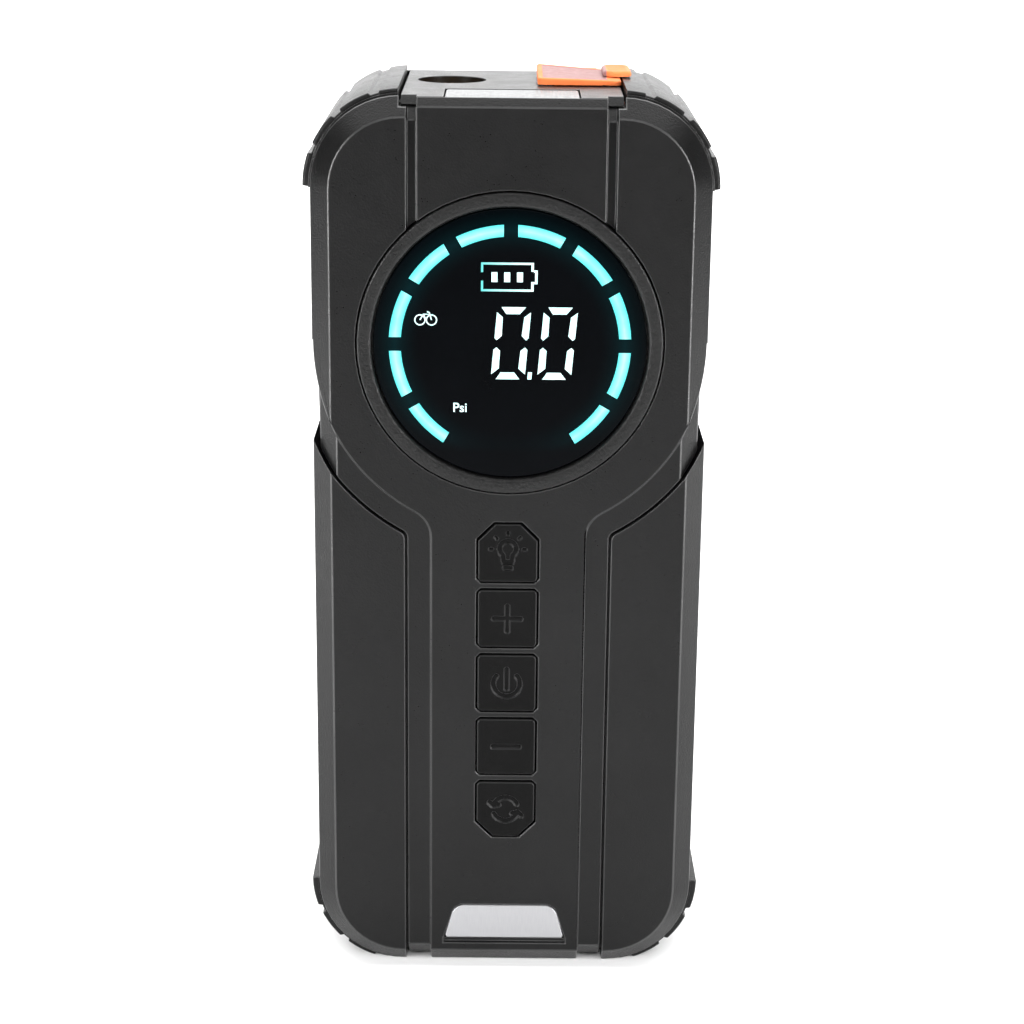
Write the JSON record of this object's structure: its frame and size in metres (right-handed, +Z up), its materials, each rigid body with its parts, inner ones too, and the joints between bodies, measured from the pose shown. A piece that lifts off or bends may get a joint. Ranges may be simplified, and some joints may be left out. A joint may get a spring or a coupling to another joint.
{
  "type": "jump starter pack",
  "caption": "Upright hand-held jump starter pack with tyre inflator, round display, button column, rubber corners and a capped jump socket.",
  "frame": {"origin": "centre of the base, on the surface that the pack stands on", "axes": "+Z up along the pack's height, -Y out of the display's face, +X to the right seen from the front"},
  "size_m": [0.0936, 0.0626, 0.2129],
  "materials": {
    "casing": "fine moulded texture, dark grey, satin",
    "bumper_rubber": "black soft rubber, matt",
    "button_rubber": "black silicone, matt, sunk symbols",
    "bezel": "grained black plastic",
    "display_glass": "polished, near black",
    "display_light": "lit cyan",
    "frosted": "frosted white lens",
    "silver_trim": "satin silver",
    "orange_rubber": "orange soft rubber",
    "label": "blank matt label",
    "steel": "satin steel",
    "brass": "turned brass",
    "aluminium": "cast aluminium",
    "board": "green solder mask",
    "cell_foil": "foil pouch",
    "dark_plastic": "glass-filled nylon",
    "nylon": "natural nylon"
  },
  "bodies": {
    "pack": {"front_shell": "casing", "rear_shell": "casing", "lower_cover_left": "casing", "lower_cover_right": "casing", "top_panel": "casing", "bumper_top_left": "bumper_rubber", "bumper_top_right": "bumper_rubber", "bumper_bottom_left": "bumper_rubber", "bumper_bottom_right": "bumper_rubber", "foot_trim_plate": "silver_trim", "rear_label": "label", "case_screw_lower_left": "steel", "case_screw_lower_right": "steel", "case_screw_upper_left": "steel", "case_screw_upper_right": "steel", "bezel_ring": "bezel", "display_lens": "display_glass", "light_guide": "display_light", "display_board": "board", "key_board": "board", "lamp_lens": "frosted", "lamp_reflector": "silver_trim", "lamp_board": "board", "air_outlet": "brass", "jump_socket": "dark_plastic", "contact_front": "brass", "contact_rear": "brass", "cap_strap": "orange_rubber", "usb_a_port": "steel", "usb_c_port": "steel", "port_board": "board", "battery_cell_1": "cell_foil", "battery_cell_2": "cell_foil", "battery_cell_3": "cell_foil", "battery_cell_4": "cell_foil", "battery_tray": "dark_plastic", "main_board": "board", "motor": "steel", "pump_frame": "dark_plastic", "gear_axle": "steel", "pump_cylinder": "aluminium", "cylinder_head": "aluminium", "air_tube": "button_rubber"},
    "lamp_key": {"lamp_button": "button_rubber"},
    "plus_key": {"plus_button": "button_rubber"},
    "power_key": {"power_button": "button_rubber"},
    "minus_key": {"minus_button": "button_rubber"},
    "mode_key": {"mode_button": "button_rubber"},
    "cap": {"socket_cap": "orange_rubber"},
    "flap": {"port_flap": "bumper_rubber"},
    "gear": {"crank_gear": "nylon"},
    "pinion": {"motor_pinion": "brass"},
    "piston": {"piston": "nylon"}
  },
  "joints": [
    {"name": "lamp_press", "type": "slide", "parent": "pack", "child": "lamp_key", "axis": [0, 1, 0], "range_m": [0, 0.0008], "stiffness_N_per_m": 900},
    {"name": "plus_press", "type": "slide", "parent": "pack", "child": "plus_key", "axis": [0, 1, 0], "range_m": [0, 0.0008], "stiffness_N_per_m": 900},
    {"name": "power_press", "type": "slide", "parent": "pack", "child": "power_key", "axis": [0, 1, 0], "range_m": [0, 0.0008], "stiffness_N_per_m": 900},
    {"name": "minus_press", "type": "slide", "parent": "pack", "child": "minus_key", "axis": [0, 1, 0], "range_m": [0, 0.0008], "stiffness_N_per_m": 900},
    {"name": "mode_press", "type": "slide", "parent": "pack", "child": "mode_key", "axis": [0, 1, 0], "range_m": [0, 0.0008], "stiffness_N_per_m": 900},
    {"name": "cap_hinge", "type": "hinge", "parent": "pack", "child": "cap", "pos_m": [0.0154, 0.0178, 0.2111], "axis": [-1, 0, 0], "range_deg": [0, 95]},
    {"name": "flap_hinge", "type": "hinge", "parent": "pack", "child": "flap", "pos_m": [0, 0.031, 0.105], "axis": [-1, 0, 0], "range_deg": [0, 110]},
    {"name": "gear_spin", "type": "hinge", "parent": "pack", "child": "gear", "pos_m": [0.00185, 0.006, 0.17], "axis": [0, 0, 1], "continuous": true},
    {"name": "pinion_spin", "type": "hinge", "parent": "pack", "child": "pinion", "pos_m": [-0.02, 0.006, 0.17], "axis": [0, 0, 1], "continuous": true},
    {"name": "piston_stroke", "type": "slide", "parent": "pack", "child": "piston", "axis": [1, 0, 0], "range_m": [0, 0.009]}
  ],
  "couplings": [
    {"joint": "pinion_spin", "follows": "gear_spin", "ratio": -3}
  ]
}
